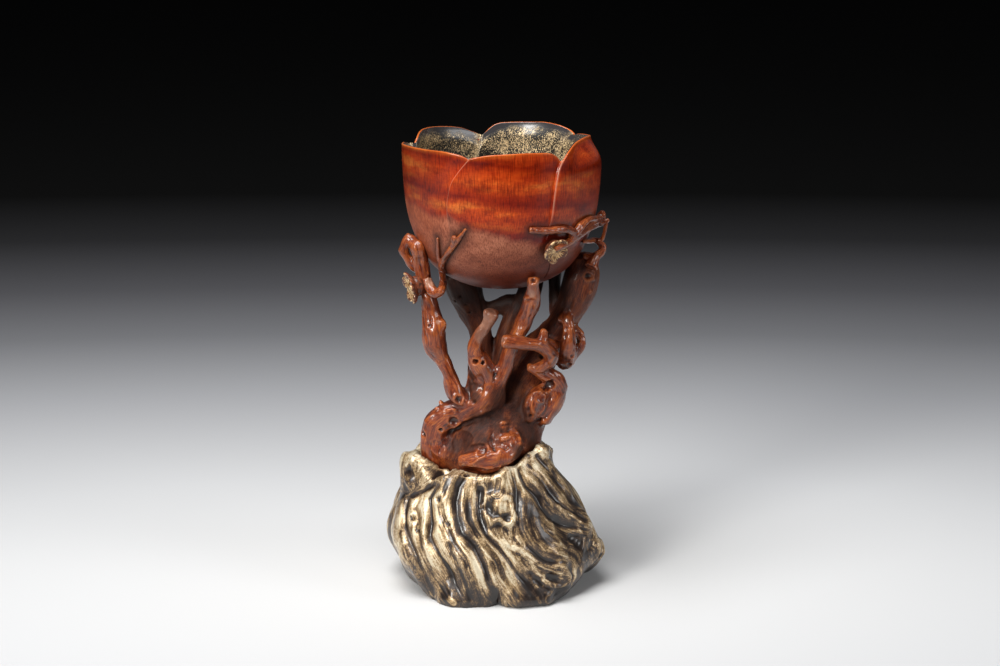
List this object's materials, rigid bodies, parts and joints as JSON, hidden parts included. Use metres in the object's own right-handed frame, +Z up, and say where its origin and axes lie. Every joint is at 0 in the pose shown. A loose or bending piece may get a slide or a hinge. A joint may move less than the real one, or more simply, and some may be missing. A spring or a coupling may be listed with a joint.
{
  "type": "libation cup on stand",
  "caption": "Carved libation cup shaped as an opening flower on a gnarled root with twigs and blossoms, lifting off a carved rockwork stand.",
  "frame": {"origin": "middle of the flat bottom of the stand, on the surface that it stands on", "axes": "+Z up, +X to the right seen from the front, the front of the cup towards -Y"},
  "size_m": [0.0968, 0.0887, 0.1983],
  "materials": {
    "stand_lacquer": "black lacquered carved wood with rubbed and worn gold on the ribs",
    "root_wood": "polished red-brown carved root wood",
    "gilt_wood": "carved wood with rubbed gilding",
    "gilt": "gilded",
    "amber_lacquer": "glossy amber-red lacquered bamboo, browner towards the bottom",
    "flecked_lacquer": "black lacquer flecked with gold",
    "bamboo": "bare bamboo"
  },
  "bodies": {
    "stand": {"rock_stand": "stand_lacquer"},
    "cup": {"root_trunk": "root_wood", "left_root": "root_wood", "fork_limb": "root_wood", "fork_stub": "root_wood", "left_branch": "root_wood", "left_crook": "root_wood", "branch_thorn": "root_wood", "left_twig": "root_wood", "twig_spur": "root_wood", "back_left_limb": "root_wood", "back_mid_limb": "root_wood", "back_bridge": "root_wood", "right_prong": "root_wood", "knot_loop": "root_wood", "knot_strand": "root_wood", "side_limb": "root_wood", "curled_branch": "root_wood", "curl_root": "root_wood", "curl_bud": "root_wood", "knot_stump": "root_wood", "root_burr": "root_wood", "upper_twig": "root_wood", "middle_twig": "root_wood", "lower_twig": "root_wood", "link_twig": "root_wood", "hook_twig": "root_wood", "twig_bud": "root_wood", "left_blossom": "gilt_wood", "right_blossom": "gilt_wood", "left_stamens": "gilt", "right_stamens": "gilt", "petal_cup": "amber_lacquer", "cup_lining": "flecked_lacquer", "cup_pegs": "bamboo"}
  },
  "joints": [
    {"name": "cup_lift", "type": "slide", "parent": "stand", "child": "cup", "axis": [0, 0, 1], "range_m": [0, 0.06]}
  ]
}
